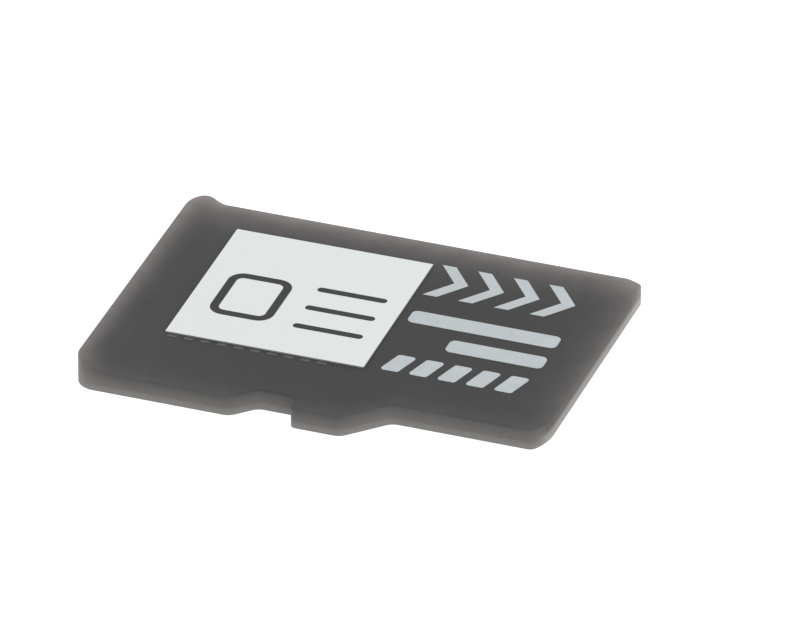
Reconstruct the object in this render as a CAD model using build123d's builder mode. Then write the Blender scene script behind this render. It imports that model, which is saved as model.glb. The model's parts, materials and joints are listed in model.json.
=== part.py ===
from build123d import *
import os

# A miniature memory card: a thin circuit board with eight flat contacts on its back and, on its top, two
# stacked memory chips, a controller chip and three capacitors. Black resin is moulded over them in one shot,
# and forms the finger lip at the grip end. A paper sticker lies on the label face.
# Millimetres. +X points to the contact end, which goes into the socket first. +Y points across the card, away
# from its notched side. +Z points out of the label face. The origin is the middle of the card's flat back.

# Card outline
card_length = 15.0
card_width = 11.0
card_thickness = 0.7
grip_near_corner_radius = 0.7
grip_far_corner_radius = 0.85

# Contact end's two corners, cut askew and then rounded, with lengths along the card and depths across it
near_cut_length = 0.33
near_cut_depth = 0.62
near_cut_side_radius = 0.3
near_cut_end_radius = 1.9
far_cut_length = 0.48
far_cut_depth = 0.21
far_cut_side_radius = 0.42
far_cut_end_radius = 0.14

# Notched side, with lengths along the card and depths in from its wide edge
shoulder_distance = 6.17
shoulder_depth = 1.27
tooth_length = 1.66
notch_depth = 0.7
notch_floor_length = 1.27
ramp_corner_radius = 0.5
step_corner_radius = 0.2

# Finger lip, which follows an arc and is narrowest in the middle of the grip end
lip_rise = 0.3
lip_crest_width = 0.17
lip_slope_run = 0.8
lip_arc_radius = 90.0
rim_radius = 0.08

# Circuit board, with its solder mask
board_thickness = 0.24
mask_thickness = 0.02

# Contacts on the back, in their order from the notched side
signal_contacts = ["data_2", "data_3", "command", "supply", "clock", "ground", "data_0", "data_1"]
power_contacts = ["supply", "ground"]
contact_side_margin = 0.615
contact_gap = 0.3
contact_length = 2.9
signal_setback = 0.82
power_setback = 0.52
contact_thickness = 0.03
contact_recess = 0.01
contact_corner = 0.12
mask_clearance = 0.05
via_diameter = 0.15
via_inset = 0.3

# Chips inside the resin
edge_cover = 0.95
top_cover = 0.14
flash_end_distance = 6.8
stack_shift = 0.4
film_thickness = 0.02
controller_length = 2.4
controller_width = 3.2
controller_distance = 2.9

# Bond fingers on the board and the wires that join them to the chips
bond_count = len(signal_contacts)
flash_bond_margin = 1.05
controller_bond_margin = 0.2
die_pad_inset = 0.1
finger_gap = 0.4
finger_length = 0.3
finger_width = 0.12
finger_thickness = 0.02
wire_diameter = 0.025
wire_loop = 0.08
wire_drop = 0.1

# Capacitors, in their order from the contact end
capacitors = ["capacitor_supply", "capacitor_core", "capacitor_flash"]
capacitor_length = 0.6
capacitor_width = 0.3
capacitor_end_length = 0.18
capacitor_distance = 1.6
capacitor_spacing = 1.2
capacitor_corner = 0.03
solder_thickness = 0.02

# Paper sticker, cut by hand and stuck on a little askew
sticker_length = 6.53
sticker_grip_margin = 1.98
sticker_far_margin = 1.4
sticker_near_margin = 2.98
sticker_thickness = 0.05
sticker_turn = 0.4

# Lines of the outline
contact_end = card_length / 2
grip_end = -card_length / 2
far_edge = card_width / 2
wide_edge = -card_width / 2
narrow_edge = wide_edge + shoulder_depth
notch_floor = wide_edge + notch_depth
shoulder_x = contact_end - shoulder_distance
step_x = shoulder_x - tooth_length
notch_ramp_x = step_x - notch_floor_length

# Arc of the lip, about an upright line beyond the contact end
lip_foot_radius = lip_arc_radius
lip_crest_radius = lip_foot_radius + lip_slope_run
lip_centre_x = grip_end + lip_crest_width + lip_crest_radius
lip_top = card_thickness + lip_rise

# Contact row, spread over the narrow width of the card
contact_row_width = far_edge - narrow_edge - 2 * contact_side_margin
contact_width = (contact_row_width - (bond_count - 1) * contact_gap) / bond_count
contact_pitch = contact_width + contact_gap
contact_row_y = (far_edge + narrow_edge) / 2
contact_inner_x = contact_end - signal_setback - contact_length
contact_ys = [contact_row_y + (i - (bond_count - 1) / 2) * contact_pitch for i in range(bond_count)]
contact_outer_xs = [
    contact_end - (power_setback if name in power_contacts else signal_setback) for name in signal_contacts
]
contact_top = contact_recess + contact_thickness
via_top = board_thickness - mask_thickness

# Levels and edges of the stacked chips
die_thickness = (card_thickness - board_thickness - top_cover - wire_loop) / 2 - film_thickness
first_die_bottom = board_thickness + film_thickness
first_die_top = first_die_bottom + die_thickness
second_die_bottom = first_die_top + film_thickness
second_die_top = second_die_bottom + die_thickness
flash_edge = contact_end - flash_end_distance
flash_length = flash_edge - grip_end - edge_cover - stack_shift
flash_width = far_edge - notch_floor - 2 * edge_cover
flash_x = flash_edge - flash_length / 2
flash_y = (far_edge + notch_floor) / 2
controller_x = contact_end - controller_distance
controller_y = contact_row_y

# Rows of bonds
finger_top = board_thickness + finger_thickness
finger_offset = finger_gap + finger_length / 2
flash_bond_pitch = (flash_width - 2 * flash_bond_margin) / (bond_count - 1)
controller_bond_pitch = (controller_width - 2 * controller_bond_margin) / (bond_count - 1)
flash_bond_ys = [flash_y + (i - (bond_count - 1) / 2) * flash_bond_pitch for i in range(bond_count)]
controller_bond_ys = [
    controller_y + (i - (bond_count - 1) / 2) * controller_bond_pitch for i in range(bond_count)
]
flash_finger_x = flash_edge + finger_offset
inner_edge_x = controller_x - controller_length / 2
outer_edge_x = controller_x + controller_length / 2
inner_finger_x = inner_edge_x - finger_offset
outer_finger_x = outer_edge_x + finger_offset

# Capacitors, in a row along the narrow edge
capacitor_bottom = board_thickness + solder_thickness
capacitor_height = card_thickness - top_cover - capacitor_bottom
capacitor_y = narrow_edge + edge_cover
capacitor_xs = [contact_end - capacitor_distance - i * capacitor_spacing for i in range(len(capacitors))]

# Sticker
sticker_width = card_width - sticker_far_margin - sticker_near_margin
sticker_x = grip_end + sticker_grip_margin + sticker_length / 2
sticker_y = far_edge - sticker_far_margin - sticker_width / 2

os.makedirs("parts", exist_ok=True)

# Card outline in plan, from the grip corner along the notched side
with BuildSketch() as outline:
    with BuildLine():
        FilletPolyline(
            (grip_end, wide_edge),
            (notch_ramp_x - notch_depth, wide_edge),
            (notch_ramp_x, notch_floor),
            (step_x, notch_floor),
            (step_x, wide_edge),
            (shoulder_x, wide_edge),
            (shoulder_x + shoulder_depth, narrow_edge),
            (contact_end - near_cut_length, narrow_edge),
            (contact_end, narrow_edge + near_cut_depth),
            (contact_end, far_edge - far_cut_depth),
            (contact_end - far_cut_length, far_edge),
            (grip_end, far_edge),
            radius=[
                grip_near_corner_radius,
                ramp_corner_radius,
                ramp_corner_radius,
                step_corner_radius,
                step_corner_radius,
                ramp_corner_radius,
                ramp_corner_radius,
                near_cut_side_radius,
                near_cut_end_radius,
                far_cut_end_radius,
                far_cut_side_radius,
                grip_far_corner_radius,
            ],
            close=True,
        )
    make_face()

# Contacts, sunk a little below the solder mask
for contact_name, contact_y, outer_x in zip(signal_contacts, contact_ys, contact_outer_xs):
    with BuildPart() as contact:
        with BuildSketch(Plane.XY.offset(contact_recess)):
            with Locations(((contact_inner_x + outer_x) / 2, contact_y)):
                RectangleRounded(outer_x - contact_inner_x, contact_width, contact_corner)
        extrude(amount=contact_thickness)
    contact.part.label = f"contact_{contact_name}"
    export_step(contact.part, f"parts/contact_{contact_name}.step")

# Plated vias, which lead from the contacts to the copper inside the board
with BuildPart() as contact_vias:
    with BuildSketch(Plane.XY.offset(contact_top)):
        with Locations([(contact_inner_x + via_inset, contact_y) for contact_y in contact_ys]):
            Circle(via_diameter / 2)
    extrude(amount=via_top - contact_top)
contact_vias.part.label = "contact_vias"
export_step(contact_vias.part, "parts/contact_vias.step")

# Circuit board, with a window in its mask around each contact
with BuildPart() as circuit_board:
    add(outline.sketch)
    extrude(amount=board_thickness)
    with BuildSketch():
        for contact_y, outer_x in zip(contact_ys, contact_outer_xs):
            with Locations(((contact_inner_x + outer_x) / 2, contact_y)):
                RectangleRounded(
                    outer_x - contact_inner_x + 2 * mask_clearance,
                    contact_width + 2 * mask_clearance,
                    contact_corner + mask_clearance,
                )
    extrude(amount=contact_top, mode=Mode.SUBTRACT)
    add(contact_vias.part, mode=Mode.SUBTRACT)
circuit_board.part.label = "circuit_board"
export_step(circuit_board.part, "parts/circuit_board.step")

# Memory chips, stacked like stairs so that both keep a free edge for their bonds
with BuildPart() as flash_film_lower:
    with BuildSketch(Plane.XY.offset(board_thickness)):
        with Locations((flash_x, flash_y)):
            Rectangle(flash_length, flash_width)
    extrude(amount=film_thickness)
flash_film_lower.part.label = "flash_film_lower"
export_step(flash_film_lower.part, "parts/flash_film_lower.step")

with BuildPart() as flash_die_lower:
    with BuildSketch(Plane.XY.offset(first_die_bottom)):
        with Locations((flash_x, flash_y)):
            Rectangle(flash_length, flash_width)
    extrude(amount=die_thickness)
flash_die_lower.part.label = "flash_die_lower"
export_step(flash_die_lower.part, "parts/flash_die_lower.step")

with BuildPart() as flash_film_upper:
    with BuildSketch(Plane.XY.offset(first_die_top)):
        with Locations((flash_x - stack_shift, flash_y)):
            Rectangle(flash_length, flash_width)
    extrude(amount=film_thickness)
flash_film_upper.part.label = "flash_film_upper"
export_step(flash_film_upper.part, "parts/flash_film_upper.step")

with BuildPart() as flash_die_upper:
    with BuildSketch(Plane.XY.offset(second_die_bottom)):
        with Locations((flash_x - stack_shift, flash_y)):
            Rectangle(flash_length, flash_width)
    extrude(amount=die_thickness)
flash_die_upper.part.label = "flash_die_upper"
export_step(flash_die_upper.part, "parts/flash_die_upper.step")

# Controller chip, above the contact row
with BuildPart() as controller_film:
    with BuildSketch(Plane.XY.offset(board_thickness)):
        with Locations((controller_x, controller_y)):
            Rectangle(controller_length, controller_width)
    extrude(amount=film_thickness)
controller_film.part.label = "controller_film"
export_step(controller_film.part, "parts/controller_film.step")

with BuildPart() as controller_die:
    with BuildSketch(Plane.XY.offset(first_die_bottom)):
        with Locations((controller_x, controller_y)):
            Rectangle(controller_length, controller_width)
    extrude(amount=die_thickness)
controller_die.part.label = "controller_die"
export_step(controller_die.part, "parts/controller_die.step")

# Bond fingers, plated onto the board beside the chips
with BuildPart() as flash_bond_fingers:
    with BuildSketch(Plane.XY.offset(board_thickness)):
        with Locations([(flash_finger_x, bond_y) for bond_y in flash_bond_ys]):
            Rectangle(finger_length, finger_width)
    extrude(amount=finger_thickness)
flash_bond_fingers.part.label = "flash_bond_fingers"
export_step(flash_bond_fingers.part, "parts/flash_bond_fingers.step")

with BuildPart() as controller_bond_fingers:
    with BuildSketch(Plane.XY.offset(board_thickness)):
        with Locations([(x, y) for x in (inner_finger_x, outer_finger_x) for y in controller_bond_ys]):
            Rectangle(finger_length, finger_width)
    extrude(amount=finger_thickness)
controller_bond_fingers.part.label = "controller_bond_fingers"
export_step(controller_bond_fingers.part, "parts/controller_bond_fingers.step")


def bond_wires(runs, bond_ys):
    """Wires that rise from a chip, kink over and drop onto their landing, one for each run and row."""
    strands = []
    for (start_x, start_z), (end_x, end_z) in runs:
        with BuildPart() as strand:
            with BuildLine(Plane.XZ) as route:
                Polyline(
                    (start_x, start_z),
                    (start_x, start_z + wire_loop),
                    (end_x, end_z + wire_drop),
                    (end_x, end_z),
                )
            with BuildSketch(Plane((start_x, 0, start_z))):
                Circle(wire_diameter / 2)
            sweep(path=route.wires()[0], transition=Transition.RIGHT)
        strands.append(strand.part)
    with BuildPart() as wires:
        with Locations([(0, bond_y, 0) for bond_y in bond_ys]):
            add(strands)
    return wires


# Wires from the lower memory chip to the board, and down the stairs from the upper chip to the lower one
flash_wires_lower = bond_wires(
    [((flash_edge - die_pad_inset, first_die_top), (flash_finger_x, finger_top))],
    flash_bond_ys,
)
flash_wires_lower.part.label = "flash_wires_lower"
export_step(flash_wires_lower.part, "parts/flash_wires_lower.step")

flash_step_x = flash_edge - stack_shift
flash_wires_upper = bond_wires(
    [((flash_step_x - die_pad_inset, second_die_top), (flash_step_x + die_pad_inset, first_die_top))],
    flash_bond_ys,
)
flash_wires_upper.part.label = "flash_wires_upper"
export_step(flash_wires_upper.part, "parts/flash_wires_upper.step")

# Wires from both long sides of the controller to the board
controller_wires = bond_wires(
    [
        ((inner_edge_x + die_pad_inset, first_die_top), (inner_finger_x, finger_top)),
        ((outer_edge_x - die_pad_inset, first_die_top), (outer_finger_x, finger_top)),
    ],
    controller_bond_ys,
)
controller_wires.part.label = "controller_wires"
export_step(controller_wires.part, "parts/controller_wires.step")

# Solder under the two ends of each capacitor
capacitor_end_offset = (capacitor_length - capacitor_end_length) / 2
with BuildPart() as solder_joints:
    with BuildSketch(Plane.XY.offset(board_thickness)):
        for capacitor_x in capacitor_xs:
            for end_x in (capacitor_x - capacitor_end_offset, capacitor_x + capacitor_end_offset):
                with Locations((end_x, capacitor_y)):
                    Rectangle(capacitor_end_length, capacitor_width)
    extrude(amount=solder_thickness)
solder_joints.part.label = "solder_joints"
export_step(solder_joints.part, "parts/solder_joints.step")

# Capacitors
capacitor_pieces = []
for capacitor_name, capacitor_x in zip(capacitors, capacitor_xs):
    with BuildPart() as capacitor:
        with BuildSketch(Plane.XY.offset(capacitor_bottom)):
            with Locations((capacitor_x, capacitor_y)):
                RectangleRounded(capacitor_length, capacitor_width, capacitor_corner)
        extrude(amount=capacitor_height)
    capacitor.part.label = capacitor_name
    export_step(capacitor.part, f"parts/{capacitor_name}.step")
    capacitor_pieces.append(capacitor.part)

# Moulded body: the outline up to the lip, cut down to the label face in front of the lip's slope
with BuildPart() as moulded_body:
    with BuildSketch(Plane.XY.offset(board_thickness)):
        add(outline.sketch)
    extrude(amount=lip_top - board_thickness)
    with BuildSketch(Plane.XZ.shift_origin((lip_centre_x, 0, 0))):
        with BuildLine():
            slope_middle = (-(lip_foot_radius + lip_crest_radius) / 2, card_thickness + lip_rise / 2)
            label_line = Line((0, card_thickness), (-lip_foot_radius, card_thickness))
            foot_bend = TangentArc(label_line @ 1, slope_middle, tangent=(-1, 0))
            crest_bend = TangentArc(foot_bend @ 1, (-lip_crest_radius, lip_top), tangent=foot_bend % 1)
            Polyline(crest_bend @ 1, (0, lip_top), label_line @ 0)
        make_face()
    revolve(axis=Axis((lip_centre_x, 0, 0), (0, 0, 1)), mode=Mode.SUBTRACT)
    walls = moulded_body.faces().filter_by(lambda face: abs(face.normal_at().Z) < 0.01)
    rim = walls.edges().filter_by(lambda edge: edge.bounding_box().min.Z > board_thickness + rim_radius)
    fillet(rim, radius=rim_radius)
    enclosed_pieces = [
        flash_film_lower.part,
        flash_die_lower.part,
        flash_film_upper.part,
        flash_die_upper.part,
        controller_film.part,
        controller_die.part,
        flash_bond_fingers.part,
        controller_bond_fingers.part,
        flash_wires_lower.part,
        flash_wires_upper.part,
        controller_wires.part,
        solder_joints.part,
        *capacitor_pieces,
    ]
    add(enclosed_pieces, mode=Mode.SUBTRACT)
moulded_body.part.label = "moulded_body"
export_step(moulded_body.part, "parts/moulded_body.step")

# Paper sticker on the label face
with BuildPart() as paper_sticker:
    with BuildSketch(Plane.XY.offset(card_thickness)):
        with Locations((sticker_x, sticker_y)):
            Rectangle(sticker_length, sticker_width, rotation=sticker_turn)
    extrude(amount=sticker_thickness)
paper_sticker.part.label = "paper_sticker"
export_step(paper_sticker.part, "parts/paper_sticker.step")
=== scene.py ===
# %% [markdown]
# # A miniature memory card
# This lesson dresses a small memory card that lies on a white table. Its solid pieces come from a CAD
# frame, at their real size: a moulded body, a circuit board, eight contacts, the chips inside and a paper
# sticker. Blender adds what the frame leaves out: the camera, the light, the finish of every surface and
# the ink. Each step has a short text first, and then the cell that does the work.

# %% Load the frame
import json
import math

import bpy
from mathutils import Matrix, Vector


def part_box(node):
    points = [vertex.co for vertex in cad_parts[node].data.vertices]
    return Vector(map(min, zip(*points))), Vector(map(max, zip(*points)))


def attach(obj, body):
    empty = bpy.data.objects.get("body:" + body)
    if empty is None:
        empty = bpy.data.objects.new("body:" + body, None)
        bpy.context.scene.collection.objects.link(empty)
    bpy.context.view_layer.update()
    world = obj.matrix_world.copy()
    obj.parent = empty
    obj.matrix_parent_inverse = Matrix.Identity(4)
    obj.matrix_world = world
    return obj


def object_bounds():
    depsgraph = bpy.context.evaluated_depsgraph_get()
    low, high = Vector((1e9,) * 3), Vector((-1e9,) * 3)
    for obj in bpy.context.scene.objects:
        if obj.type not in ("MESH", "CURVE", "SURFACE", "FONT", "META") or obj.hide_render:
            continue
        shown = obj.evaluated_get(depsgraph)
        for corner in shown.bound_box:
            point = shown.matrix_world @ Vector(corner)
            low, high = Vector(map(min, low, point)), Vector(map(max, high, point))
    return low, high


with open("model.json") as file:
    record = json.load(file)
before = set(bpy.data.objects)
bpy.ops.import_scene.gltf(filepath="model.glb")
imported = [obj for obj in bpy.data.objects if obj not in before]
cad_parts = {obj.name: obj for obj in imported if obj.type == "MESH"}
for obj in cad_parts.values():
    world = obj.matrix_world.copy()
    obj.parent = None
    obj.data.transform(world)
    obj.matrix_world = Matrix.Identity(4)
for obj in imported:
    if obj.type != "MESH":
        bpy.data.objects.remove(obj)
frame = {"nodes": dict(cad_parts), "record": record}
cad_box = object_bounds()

MM = 0.001
nodes = frame["nodes"]
print("frame:", len(nodes), "nodes, box in mm", [round(v / MM, 2) for corner in cad_box for v in corner])

# %% [markdown]
# ## Lines of the card
# Finishes and ink are placed from the card itself. They could be placed by eye, but then they would slide
# off when the card changes. The frame gives each node's box, so the ends, the long edges, the label face
# and the sticker's top come from there. Only the shoulder's two ends are written here, because a box
# doesn't show where a stepped edge turns.

# %% Measure the card
card_low, card_high = cad_box
grip_end = card_low.x
contact_end = card_high.x
wide_edge = card_low.y
far_edge = card_high.y
board_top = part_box("circuit_board")[1].z
sticker_low, sticker_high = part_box("paper_sticker")
label_face = sticker_low.z
sticker_top = sticker_high.z
shoulder_start = 1.33 * MM
shoulder_end = 2.6 * MM
narrow_edge = wide_edge + (shoulder_end - shoulder_start)
far_contact_corner = (contact_end, far_edge)
near_contact_corner = (contact_end, narrow_edge)
far_grip_corner = (grip_end, far_edge)
near_grip_corner = (grip_end, wide_edge)
print("label face at", round(label_face / MM, 3), "mm, board top at", round(board_top / MM, 3), "mm")

# %% [markdown]
# ## Camera
# The photograph was taken with a long lens, so the card's far edge is hardly smaller than its near one.
# The numbers below were fitted to the card's outline. A camera can be aimed with a constraint, but a
# matrix made from three directions shows plainly where it looks, and lets it roll a little to one side.

# %% Place the camera
view_azimuth = math.radians(19.44735)
view_elevation = math.radians(30.87779)
view_roll = math.radians(0.25076)
view_distance = 424.64 * MM
aim_right = 1.27011 * MM
aim_up = 0.71308 * MM
image_width = 800
focal_pixels = 13625.3
sensor_width = 36.0
nearest_seen = 10 * MM
farthest_seen = 10.0

back = Vector((
    math.sin(view_azimuth) * math.cos(view_elevation),
    -math.cos(view_azimuth) * math.cos(view_elevation),
    math.sin(view_elevation),
))
level_right = Vector((math.cos(view_azimuth), math.sin(view_azimuth), 0))
level_up = back.cross(level_right)
right = level_right * math.cos(view_roll) + level_up * math.sin(view_roll)
up = level_up * math.cos(view_roll) - level_right * math.sin(view_roll)

camera_data = bpy.data.cameras.new("camera")
camera_data.sensor_width = sensor_width
camera_data.lens = sensor_width * focal_pixels / image_width
camera_data.clip_start = nearest_seen
camera_data.clip_end = farthest_seen
camera = bpy.data.objects.new("camera", camera_data)
camera_place = right * aim_right + up * aim_up + back * view_distance
camera_turn = Matrix((right, up, back)).transposed().to_4x4()
camera.matrix_world = Matrix.Translation(camera_place) @ camera_turn
bpy.context.scene.collection.objects.link(camera)
bpy.context.scene.camera = camera
print("camera at", [round(v / MM, 1) for v in camera.location], "mm, lens", round(camera_data.lens, 1), "mm")

# %% [markdown]
# ## Node helpers
# Materials are small programs drawn as nodes. Each node could be made and linked by hand, in four or five
# lines. These helpers do it in one: they make a node, fill its sockets with numbers or links, and give
# back the result.


# %% Write the node helpers
def fill_socket(tree, socket, value):
    """Links a socket to another one, or sets its number or colour."""
    if isinstance(value, bpy.types.NodeSocket):
        tree.links.new(value, socket)
    else:
        socket.default_value = value


def add_node(tree, kind, inputs=None, **settings):
    """Makes a node with these settings and inputs."""
    node = tree.nodes.new(kind)
    for name, value in settings.items():
        setattr(node, name, value)
    for name, value in (inputs or {}).items():
        fill_socket(tree, node.inputs[name], value)
    return node


def calculate(tree, operation, *values, clamp=False):
    """Makes a Math node and gives back its result."""
    node = add_node(tree, "ShaderNodeMath", dict(enumerate(values)), operation=operation, use_clamp=clamp)
    return node.outputs[0]


def mix_values(tree, factor, one, two):
    """Goes from one value to two as the factor goes from 0 to 1."""
    return add_node(tree, "ShaderNodeMix", {0: factor, 2: one, 3: two}).outputs[0]


def mix_colours(tree, factor, one, two, blend_type="MIX"):
    """Mixes two colours. A Mix node has sockets for every kind of data, and 6 and 7 are its colours."""
    inputs = {0: factor, 6: one, 7: two}
    return add_node(tree, "ShaderNodeMix", inputs, data_type="RGBA", blend_type=blend_type).outputs[2]


def toned(tree, colour, tone):
    """A colour times a tone."""
    return mix_colours(tree, 1.0, colour, tone, "MULTIPLY")


def rescale(tree, value, from_low, from_high, to_low, to_high):
    """Maps a value from one range to another, and holds it there."""
    node = add_node(
        tree, "ShaderNodeMapRange",
        {"Value": value, "From Min": from_low, "From Max": from_high, "To Min": to_low, "To Max": to_high},
    )
    return node.outputs[0]


def rise(tree, value, start, end):
    """Goes from 0 to 1 as a value goes from start to end."""
    return rescale(tree, value, start, end, 0.0, 1.0)


def from_noise(tree, noise, low, high):
    """Maps noise, which mostly lies between 0.3 and 0.7, to a range."""
    return rescale(tree, noise, 0.3, 0.7, low, high)


def split_axes(tree, vector):
    """The X, Y and Z of a vector."""
    return add_node(tree, "ShaderNodeSeparateXYZ", {0: vector}).outputs


def grey(value, warmth=0.0):
    """A grey of that brightness. Warmth shifts it towards red, and less than none towards blue."""
    return (value * (1 + warmth), value, value * (1 - warmth), 1)


print("helpers ready")

# %% [markdown]
# ## Light
# Small goods are photographed in a light tent: white cloth all round, so that light comes from everywhere
# and shadows vanish. Many lamps could imitate it, but a white world does the same with one number. One
# large soft panel on the contact side lifts the walls that face it.

# %% Build the light tent
world_strength = 0.9
panel_power = 0.25
panel_size = 300 * MM
panel_place = Vector((280, -90, 90)) * MM

scene = bpy.context.scene
scene.view_settings.view_transform = "Standard"
world = bpy.data.worlds.new("light tent")
world.use_nodes = True
white_cloth = world.node_tree.nodes["Background"]
white_cloth.inputs["Color"].default_value = grey(1.0)
white_cloth.inputs["Strength"].default_value = world_strength
scene.world = world

panel_data = bpy.data.lights.new("side panel", "AREA")
panel_data.energy = panel_power
panel_data.size = panel_size
panel = bpy.data.objects.new("side panel", panel_data)
panel.location = panel_place
panel.rotation_euler = (-panel_place).to_track_quat("-Z", "Y").to_euler()
scene.collection.objects.link(panel)
print("light tent: world", world_strength, "panel", panel_power, "W")

# %% [markdown]
# ## Floor
# The table is lit until it burns out to plain white. A very bright lamp could do that, but it would wash
# out the card too, so the floor glows a little instead. It lies a hair below the card, and it can be seen
# through from below: there its back faces the camera, and a transparent shader takes over, so that the
# contacts can be looked at. Blender splits a square face into two triangles, whose light can differ a
# little, so the card lies off the floor's centre, away from the line where they meet.

# %% Lay the floor
floor_size = 2.0
floor_drop = 0.02 * MM
floor_left = -0.3 * floor_size
floor_front = -0.6 * floor_size
floor_finish = {
    "Base Color": grey(0.3),
    "Roughness": 0.9,
    "Specular IOR Level": 0.0,
    "Emission Color": grey(1.0),
    "Emission Strength": 1.0,
}

floor_material = bpy.data.materials.new("white table")
floor_material.use_nodes = True
floor_tree = floor_material.node_tree
floor_shader = floor_tree.nodes["Principled BSDF"]
for socket_name, value in floor_finish.items():
    floor_shader.inputs[socket_name].default_value = value
seen_from_below = floor_tree.nodes.new("ShaderNodeNewGeometry").outputs["Backfacing"]
see_through = floor_tree.nodes.new("ShaderNodeBsdfTransparent").outputs[0]
either_side = add_node(
    floor_tree, "ShaderNodeMixShader", {0: seen_from_below, 1: floor_shader.outputs[0], 2: see_through}
)
floor_tree.links.new(either_side.outputs[0], floor_tree.nodes["Material Output"].inputs["Surface"])

floor_corners = [
    (floor_left + across * floor_size, floor_front + deep * floor_size, -floor_drop)
    for across, deep in ((0, 0), (1, 0), (1, 1), (0, 1))
]
floor_mesh = bpy.data.meshes.new("floor")
floor_mesh.from_pydata(floor_corners, [], [(0, 1, 2, 3)])
floor_mesh.materials.append(floor_material)
floor = bpy.data.objects.new("floor", floor_mesh)
scene.collection.objects.link(floor)
print("floor", floor_size, "m wide")

# %% [markdown]
# ## Shared effects
# Some effects return in several finishes: pale edges, partly wear and partly painted sheen and glare, the
# fine grain that a mould leaves, walls cut rough along the card's outline, scratches and dust. They could
# be copied into every material, but a node group with named sockets is built once and placed where it is
# needed, with its own values. All of them read a position in the card's own space, so they stay put from
# every side.


# %% Write the group helpers
def shader_group(name, inputs, outputs):
    """Makes a shader node group with value or vector sockets. Gives back it and the sockets of its ends."""
    tree = bpy.data.node_groups.new(name, "ShaderNodeTree")
    for socket_name, default in inputs.items():
        is_vector = default is None
        kind = "NodeSocketVector" if is_vector else "NodeSocketFloat"
        socket = tree.interface.new_socket(socket_name, in_out="INPUT", socket_type=kind)
        if not is_vector:
            socket.default_value = default
    for socket_name in outputs:
        tree.interface.new_socket(socket_name, in_out="OUTPUT", socket_type="NodeSocketFloat")
    return tree, tree.nodes.new("NodeGroupInput").outputs, tree.nodes.new("NodeGroupOutput").inputs


def use_group(tree, group, **inputs):
    """Places a group in a material. Underscores in the names stand for spaces."""
    named = {name.replace("_", " "): value for name, value in inputs.items()}
    return add_node(tree, "ShaderNodeGroup", named, node_tree=group).outputs


def waver(tree, noise, contrast):
    """Turns noise about 0.5 into a tone about 1, which swings by the contrast."""
    swing = calculate(tree, "MULTIPLY", calculate(tree, "SUBTRACT", noise, 0.5), contrast)
    return calculate(tree, "ADD", swing, 1.0)


print("group helpers ready")

# %% [markdown]
# ### Edge fade
# Pale edges come from wear, where fingers and card cases rub them, and from painted light: sheen along the
# label face's rim and glare at a corner. The group also marks the contact end's wall, which is painted
# with floor light. It could all be painted as pictures, but here it is a formula, so it follows the edge:
# amount times exp(-(distance / reach) ^ power). A power of 1 starts steeply and has a long tail, and a
# power of 2 stays pale over a band and then stops.

# %% Build the edge fade
edge_fade, sockets, results = shader_group(
    "edge fade", {"Place": 0.0, "Edge": 0.0, "Reach": 0.5 * MM, "Power": 1.0, "Amount": 1.0}, ["Rub"]
)
# This falloff draws wear and painted light alike: sheen on the rims, glare at a corner.
offset = calculate(edge_fade, "SUBTRACT", sockets["Place"], sockets["Edge"])
distance = calculate(edge_fade, "ABSOLUTE", offset)
fall = calculate(edge_fade, "DIVIDE", distance, sockets["Reach"])
fall = calculate(edge_fade, "POWER", fall, sockets["Power"])
fade = calculate(edge_fade, "EXPONENT", calculate(edge_fade, "MULTIPLY", fall, -1.0))
edge_fade.links.new(calculate(edge_fade, "MULTIPLY", fade, sockets["Amount"]), results["Rub"])
print("group", edge_fade.name)

# %% [markdown]
# ### Moulded grain
# The steel mould is spark-eroded, which leaves a fine matt grain on the resin. A single noise would look
# like sand, so there are two of different size: the small one is the grain itself, and the large one
# clouds it, so that no two square millimetres are alike.

# %% Build the moulded grain
cloud_share = 0.4
moulded_grain, sockets, results = shader_group(
    "moulded grain", {"Position": None, "Grain size": 0.05 * MM, "Cloud size": 2 * MM, "Contrast": 0.1},
    ["Tone", "Height", "Cloud"]
)


def grain_noise(size, detail):
    """Noise of that feature size, from about 0 to 1."""
    scale = calculate(moulded_grain, "DIVIDE", 1.0, size)
    noise = add_node(
        moulded_grain, "ShaderNodeTexNoise",
        {"Vector": sockets["Position"], "Scale": scale, "Detail": detail, "Roughness": 0.6},
    )
    return noise.outputs[0]


fine = grain_noise(sockets["Grain size"], detail=2.0)
cloud = grain_noise(sockets["Cloud size"], detail=3.0)
both = mix_values(moulded_grain, cloud_share, fine, cloud)
moulded_grain.links.new(waver(moulded_grain, both, sockets["Contrast"]), results["Tone"])
moulded_grain.links.new(fine, results["Height"])
moulded_grain.links.new(cloud, results["Cloud"])
print("group", moulded_grain.name)

# %% [markdown]
# ### Cut wall
# Cards are moulded many to a strip and then cut out along their outline by a jet or a saw. The cut leaves
# upright streaks on the walls. They could be cut into the mesh, but they are finer than a hair, so noise
# will do: squeezed along the wall and stretched upwards. It looks the same on every wall, because the
# stretch is along Z.


# %% Build the cut wall
def stretched_noise(tree, position, sizes, detail, roughness):
    """Noise whose features have these three sizes along X, Y and Z, from about 0 to 1."""
    along = split_axes(tree, position)
    squeezed = {axis: calculate(tree, "DIVIDE", along[axis], size) for axis, size in zip("XYZ", sizes)}
    squeezed_place = add_node(tree, "ShaderNodeCombineXYZ", squeezed).outputs[0]
    noise = add_node(
        tree, "ShaderNodeTexNoise",
        {"Vector": squeezed_place, "Scale": 1.0, "Detail": detail, "Roughness": roughness},
    )
    return noise.outputs[0]


cut_wall, sockets, results = shader_group(
    "cut wall", {"Position": None, "Streak width": 0.1 * MM, "Streak height": 0.8 * MM, "Contrast": 0.3},
    ["Tone", "Height"]
)
streak_sizes = (sockets["Streak width"], sockets["Streak width"], sockets["Streak height"])
streaks = stretched_noise(cut_wall, sockets["Position"], streak_sizes, detail=3.0, roughness=0.65)
cut_wall.links.new(waver(cut_wall, streaks, sockets["Contrast"]), results["Tone"])
cut_wall.links.new(streaks, results["Height"])
print("group", cut_wall.name)

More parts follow.
